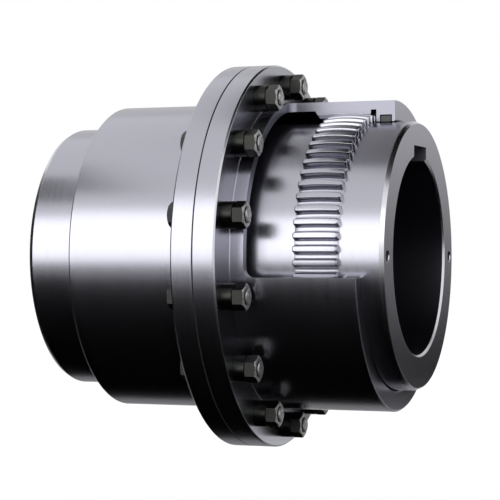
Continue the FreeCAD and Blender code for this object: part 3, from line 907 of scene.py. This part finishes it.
def make_gasket():
    """The fibre ring between the flanges."""
    inner_radius = RECESS_RADIUS + GASKET_SETBACK
    outer_radius = FLANGE_RADIUS - GASKET_SETBACK
    outline = [(-FLANGE_SEAT, inner_radius), (FLANGE_SEAT, inner_radius),
               (FLANGE_SEAT, outer_radius), (-FLANGE_SEAT, outer_radius)]
    gasket = lathe("gasket_ring", outline, RING_COLUMNS)
    gasket.data.materials.append(FIBRE)
    gasket = cut(gasket, bolt_drills(), FIBRE)
    gasket = smooth(gasket)
    put_on_side(gasket, "right")
    finish_piece(gasket, "gasket_fibre_ring", "flange_gasket", "sleeves")


def hexagon_radius(angle, width):
    """Distance from a hexagon's middle to its side; a corner is at the top."""
    turned = (angle + math.pi / 6) % (math.pi / 3) - math.pi / 6
    return width / 2 / math.cos(math.pi / 6 - abs(turned))


def hexagon_rings(start, end, width, chamfers):
    """Rings of a hexagon piece whose corners are turned off at the named ends."""
    angles = [FULL_TURN * i / HEXAGON_COLUMNS for i in range(HEXAGON_COLUMNS)]
    flat_circle = width / 2 * HEXAGON_FLAT_SHARE
    slope = math.tan(HEXAGON_CHAMFER_ANGLE)
    rings = []
    ends = ((start, "start" in chamfers, 1), (end, "end" in chamfers, -1))
    for reach, chamfered, inwards in ends:
        side = []
        for angle in angles:
            radius = hexagon_radius(angle, width)
            drop = max(0.0, radius - flat_circle) * slope if chamfered else 0.0
            side.append((reach + inwards * drop, radius * math.sin(angle),
                         radius * math.cos(angle)))
        circle = [(reach, flat_circle * math.sin(a), flat_circle * math.cos(a)) for a in angles]
        rings += [circle, side] if inwards == 1 else [side, circle]
    return rings


def circle_ring(reach, radius, columns=HEXAGON_COLUMNS):
    """A round ring of points."""
    return [(reach, radius * math.sin(FULL_TURN * i / columns),
             radius * math.cos(FULL_TURN * i / columns)) for i in range(columns)]


def rings_object(name, rings, closed):
    """A mesh through rings of points; where it isn't closed, both ends are filled flat."""
    columns = len(rings[0])
    points = [point for ring in rings for point in ring]
    faces = grid_faces(len(rings), columns, closed, True)
    if not closed:
        faces.append(tuple(range(columns)))
        faces.append(tuple(range(len(points) - columns, len(points))))
    return mesh_object(name, points, faces)


def paint_screw_ends(group):
    """Give the ends of the bolts, and the ends and chamfers of the nuts, the pale finish: partly
    rubbed-through oxide, partly a painted highlight.
    """
    (worn_and_highlight,) = add_finishes(group, WORN_AND_HIGHLIGHT)
    for face in group.data.polygons:
        # Every face that looks along the bolts gets pale steel, partly as a painted highlight
        if abs(face.normal.x) > SLANTING[0]:
            face.material_index = worn_and_highlight


def make_fasteners():
    """The ring of bolts, collars and nuts, each repeated without turning."""
    nut_end = NUT_SEAT + NUT_HEIGHT
    bolt_end = nut_end + BOLT_OVERHANG
    bolt_rings = hexagon_rings(-FLANGE_BACK - HEAD_HEIGHT, -FLANGE_BACK, HEXAGON_WIDTH,
                               ("start",))
    bolt_rings += [circle_ring(reach, BOLT_RADIUS)
                   for reach in (-FLANGE_BACK, nut_end - GUARD, nut_end,
                                 bolt_end - BOLT_CHAMFER)]
    bolt_rings.append(circle_ring(bolt_end, BOLT_RADIUS - BOLT_CHAMFER))
    bolt = rings_object("bolt", bolt_rings, closed=False)

    collar_outline = rounded([
        (FLANGE_BACK, BOLT_HOLE_RADIUS, INNER_EDGE), (NUT_SEAT, BOLT_HOLE_RADIUS, INNER_EDGE),
        (NUT_SEAT, COLLAR_RADIUS, COLLAR_EDGE), (FLANGE_BACK, COLLAR_RADIUS, COLLAR_EDGE),
    ], closed=True)
    collar = lathe("collar", collar_outline, SMALL_RING_COLUMNS)

    thread_radius = BOLT_RADIUS + NUT_PLAY
    mouth_radius = thread_radius + NUT_MOUTH
    nut_rings = hexagon_rings(NUT_SEAT, nut_end, HEXAGON_WIDTH, ("start", "end"))
    nut_rings += [circle_ring(reach, radius) for reach, radius in (
        (nut_end, mouth_radius), (nut_end - NUT_MOUTH, thread_radius),
        (NUT_SEAT + NUT_MOUTH, thread_radius), (NUT_SEAT, mouth_radius))]
    nut = rings_object("nut", nut_rings, closed=True)

    for unit, name, node in ((bolt, "bolts_black", "flange_bolts"),
                             (collar, "collars_black", "nut_collars"),
                             (nut, "nuts_black", "flange_nuts")):
        group = repeat_round(unit, name, BLACK, BOLT_COUNT, BOLT_CIRCLE_RADIUS, turning=0.0,
                             merge=0.0)
        if name != "collars_black":
            paint_screw_ends(group)
        group = smooth(group, sharp_angle=25)
        put_on_side(group, "right")
        finish_piece(group, name, node, "sleeves")


def make_plug(side, use):
    """A screw plug with a hexagon socket, and the washer under it."""
    angle = PLUG_ANGLES[use]
    reach = PLUG_REACH + SEAM_X if side == "right" else SEAM_X - PLUG_REACH
    outline = [(-PLUG_LENGTH, 0)] + rounded([
        (-PLUG_LENGTH, PLUG_FLAT_RINGS[0]), (-PLUG_LENGTH, PLUG_RADIUS, PLUG_END_EDGE),
        (0, PLUG_RADIUS, INNER_EDGE), (0, PLUG_COLLAR_RADIUS),
        (PLUG_COLLAR_HEIGHT, PLUG_COLLAR_RADIUS, PLUG_COLLAR_EDGE),
        (PLUG_COLLAR_HEIGHT, PLUG_FLAT_RINGS[1])]) + [(PLUG_COLLAR_HEIGHT, 0)]
    plug = turned_solid("plug", outline, SMALL_RING_COLUMNS)
    plug.data.materials.append(BLACK)
    socket = [circle_ring(height, SOCKET_WIDTH / math.sqrt(3), columns=6)
              for height in (PLUG_COLLAR_HEIGHT - SOCKET_DEPTH,
                             PLUG_COLLAR_HEIGHT + SOCKET_OVERHANG)]
    plug = cut(plug, rings_object("socket", socket, closed=False), BLACK)
    plug = smooth(plug)
    transform(plug, radial(angle, WASHER_SEAT + WASHER_THICKNESS, reach))
    name = "%s_%s_plug" % (side, use)
    finish_piece(plug, name + "_black", name, "sleeves")

    hole_radius = PLUG_RADIUS + WASHER_PLAY
    washer_outline = rounded([
        (0, hole_radius, WASHER_MOUTH), (WASHER_THICKNESS, hole_radius, WASHER_MOUTH),
        (WASHER_THICKNESS, PLUG_COLLAR_RADIUS), (0, PLUG_COLLAR_RADIUS)], closed=True)
    washer = lathe("washer", washer_outline, SMALL_RING_COLUMNS)
    washer.data.materials.append(ALUMINIUM)
    washer = smooth(washer)
    transform(washer, radial(angle, WASHER_SEAT, reach))
    finish_piece(washer, name + "_washer_ring", name + "_washer", "sleeves")


for half in ("right", "left"):
    make_hub(half)
    make_sleeve(half)
    make_seal(half)
    for purpose in PLUG_ANGLES:
        make_plug(half, purpose)
make_gasket()
make_fasteners()


# Camera: level with the shafts, turned off square to them, as in the photograph

VIEW_ANGLE = math.radians(20.15)
CAMERA_PLACE = (0.5983, -1.6746, 0.0)
FRAME_PIXELS = 500
FOCAL_PIXELS = 1794
SENSOR_MM = 36.0
AXIS_BELOW_MIDDLE = 6.0


def make_camera():
    """The camera at the photograph's place."""
    data = bpy.data.cameras.new("camera")
    data.sensor_width = SENSOR_MM
    data.lens = FOCAL_PIXELS / FRAME_PIXELS * SENSOR_MM
    data.shift_y = AXIS_BELOW_MIDDLE / FRAME_PIXELS
    camera = bpy.data.objects.new("camera", data)
    camera.location = CAMERA_PLACE
    camera.rotation_euler = (math.pi / 2, 0, VIEW_ANGLE)
    bpy.context.scene.collection.objects.link(camera)
    bpy.context.scene.camera = camera


# Studio, in metres

FLOOR_DEPTH = -0.30
TABLE_DEPTH = -1.2
CARD_FOOT = -0.28
SOFTBOX_RADIANCE = 1.5


def stage_plane(name, corners):
    """A flat piece of the stage, quite matt, with its material's tree and shader."""
    mesh = bpy.data.meshes.new(name)
    mesh.from_pydata(corners, [], [tuple(range(len(corners)))])
    thing = bpy.data.objects.new(name, mesh)
    bpy.context.scene.collection.objects.link(thing)
    material, tree, shader = new_material(name)
    shader.inputs["Roughness"].default_value = 1.0
    shader.inputs["Specular IOR Level"].default_value = 0.0
    thing.data.materials.append(material)
    return thing, tree, shader


def make_card(name, corners, light):
    """A card of an even light that shows in the metal only."""
    card, tree, shader = stage_plane(name, corners)
    shader.inputs["Base Color"].default_value = linear("#000000")
    shader.inputs["Emission Color"].default_value = linear("#ffffff")
    shader.inputs["Emission Strength"].default_value = light
    card.visible_camera = False
    card.visible_shadow = False
    card.visible_diffuse = False
    return tree, shader


def make_raked_card(name, corners, light, span):
    """A card whose light rises from nothing over a span of heights, as where a lamp rakes it."""
    tree, shader = make_card(name, corners, light)
    place = add(tree, "ShaderNodeTexCoord").outputs["Object"]
    height = add(tree, "ShaderNodeSeparateXYZ", {0: place}).outputs["Z"]
    rising = add(tree, "ShaderNodeMapRange", {
        "Value": height, "From Min": span[0], "From Max": span[1], "To Max": light})
    tree.links.new(rising.outputs["Result"], shader.inputs["Emission Strength"])


def level_corners(low, high, height):
    """The corners of a level rectangle between two corners (x, y)."""
    return [(low[0], low[1], height), (high[0], low[1], height),
            (high[0], high[1], height), (low[0], high[1], height)]


def upright_corners(low, high, depth):
    """The corners of an upright rectangle that faces the camera, between two corners (x, z)."""
    return [(low[0], depth, low[1]), (high[0], depth, low[1]),
            (high[0], depth, high[1]), (low[0], depth, high[1])]


def make_softbox(name, place, size, radiance):
    """A soft lamp aimed at the coupling, as bright as the white room times its radiance."""
    lamp = bpy.data.lights.new(name, "AREA")
    lamp.shape = "RECTANGLE"
    lamp.size, lamp.size_y = size
    lamp.energy = radiance * math.pi * size[0] * size[1]
    softbox = bpy.data.objects.new(name, lamp)
    softbox.location = place
    softbox.rotation_euler = (-Vector(place)).to_track_quat("-Z", "Y").to_euler()
    softbox.visible_camera = False
    bpy.context.scene.collection.objects.link(softbox)


def make_studio():
    """A white room and floor, two softboxes in front, and cards out of sight."""
    world = bpy.data.worlds.new("studio")
    world.use_nodes = True
    sky = world.node_tree.nodes["Background"]
    sky.inputs["Color"].default_value = linear("#ffffff")
    sky.inputs["Strength"].default_value = 1.0
    bpy.context.scene.world = world

    floor, _, shader = stage_plane("floor", level_corners((-6, -6), (6, 6), FLOOR_DEPTH))
    shader.inputs["Base Color"].default_value = linear("#ffffff")
    floor.visible_glossy = False

    # Below: the dark lower half, the soft edge of the bright band, and the grey lower limb
    make_card("black_table", level_corners((-14, -16), (10, 1.3), TABLE_DEPTH), 0.0)
    make_card("table_glow", level_corners((-14, -8.5), (10, -4.2), TABLE_DEPTH + 0.01), 0.28)
    make_card("grey_table", level_corners((-14, 1.3), (10, 4), TABLE_DEPTH), 0.3)
    # Behind: the grey upper limb, and the faces that look along the shafts
    make_card("limb_card", upright_corners((-2.2, 0.35), (-0.3, 1.8), 1.6), 0.72)
    make_raked_card("back_card", upright_corners((0.0, CARD_FOOT), (1.4, 0.9), 1.1), 0.7,
                    (-0.16, 0.30))
    # Above: the top of the barrels, the top of the window, and the dark upper chamfers
    make_card("top_card", level_corners((-0.30, -0.25), (1.2, 1.05), 1.0), 0.3)
    make_card("gap_card", level_corners((-0.95, -0.60), (-0.41, -0.24), 0.6), 0.2)
    make_card("chamfer_card", level_corners((-0.05, -0.45), (1.0, 1.3), 0.97), 0.0)
    # On the left: the dark left edges
    make_card("left_card", [(-5, -3, -3), (-5, 2.5, -3), (-5, 2.5, 3), (-5, -3, 3)], 0.0)

    make_softbox("side_softbox", (3.6, -4.8, 2.4), (2.4, 2.4), SOFTBOX_RADIANCE)
    make_softbox("front_softbox", (-3.0, -8.0, 1.95), (8.3, 5.6), SOFTBOX_RADIANCE)


make_camera()
make_studio()

bpy.context.scene.view_settings.view_transform = "Standard"
